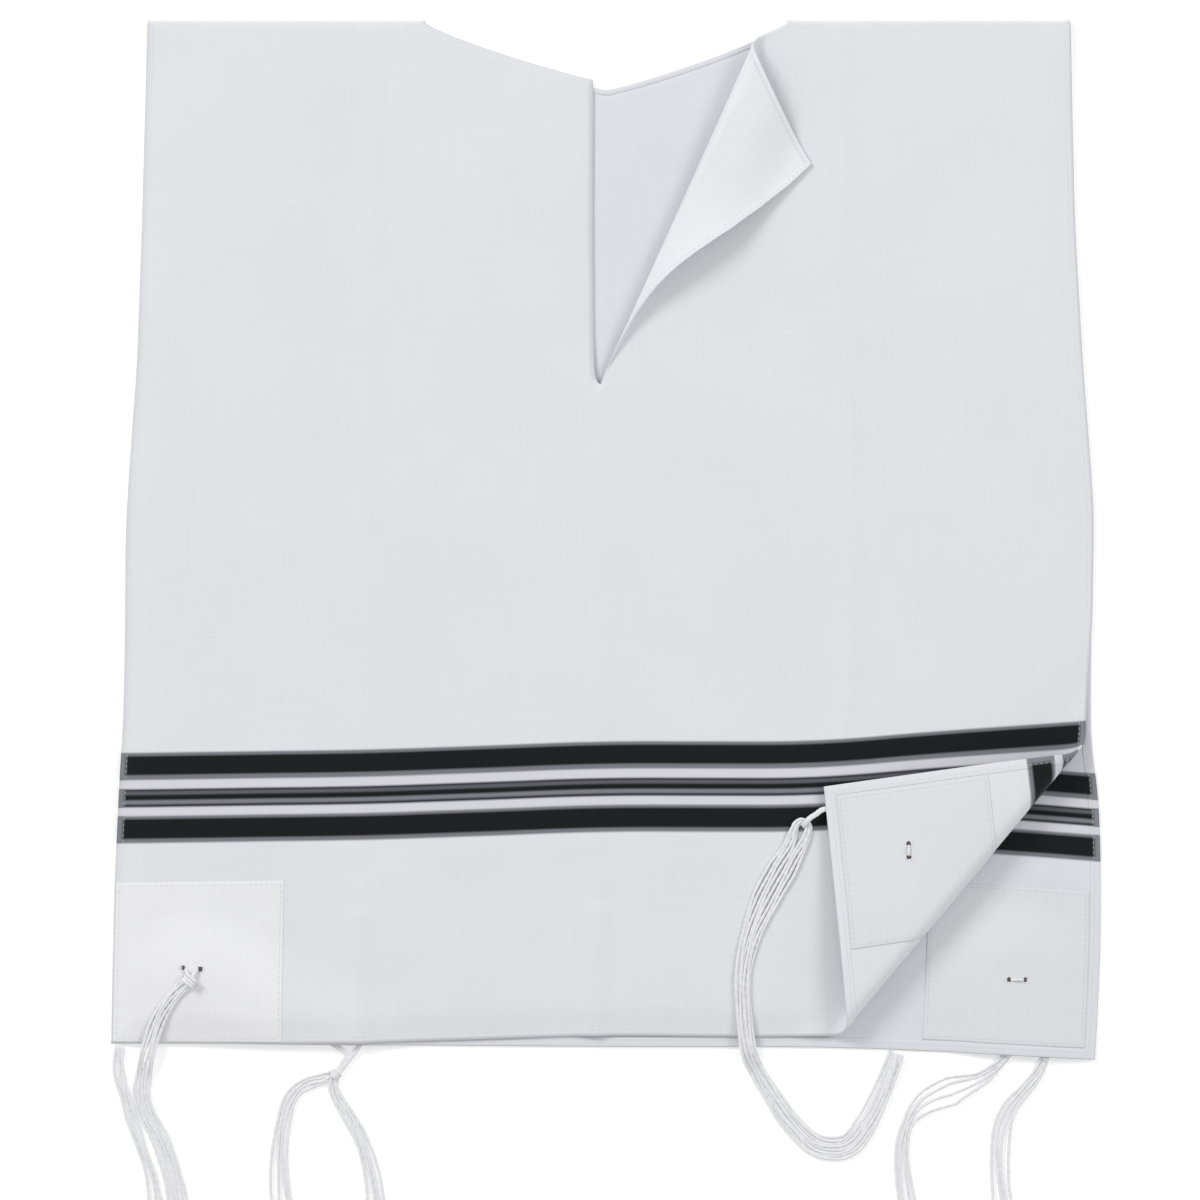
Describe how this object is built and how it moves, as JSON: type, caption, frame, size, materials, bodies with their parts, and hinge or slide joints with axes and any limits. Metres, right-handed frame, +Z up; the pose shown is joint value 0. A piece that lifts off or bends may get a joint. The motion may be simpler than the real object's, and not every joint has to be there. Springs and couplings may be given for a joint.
{
  "type": "tallit katan",
  "caption": "Four-cornered white wool undergarment with woven dark stripes, neck slit turned back, one corner turned up and a string tassel at each corner, lying flat.",
  "frame": {"origin": "on the surface it lies on, under the middle of the back panel", "axes": "+X across the garment, +Y from the hems to the shoulders, +Z up out of the front"},
  "size_m": [0.5029, 0.6866, 0.0175],
  "materials": {
    "wool": "matte woven wool, white with black and gray cross stripes",
    "patch": "matte woven wool, white",
    "string": "twisted wool string, off-white, soft sheen"
  },
  "bodies": {
    "root": {"back_panel": "wool", "front_panel": "wool", "patch_front_left": "patch", "patch_front_right": "patch", "patch_back_right": "patch", "tassel_front_left": "string", "tassel_back_left": "string", "tassel_front_right": "string", "tassel_back_right": "string"}
  },
  "joints": []
}
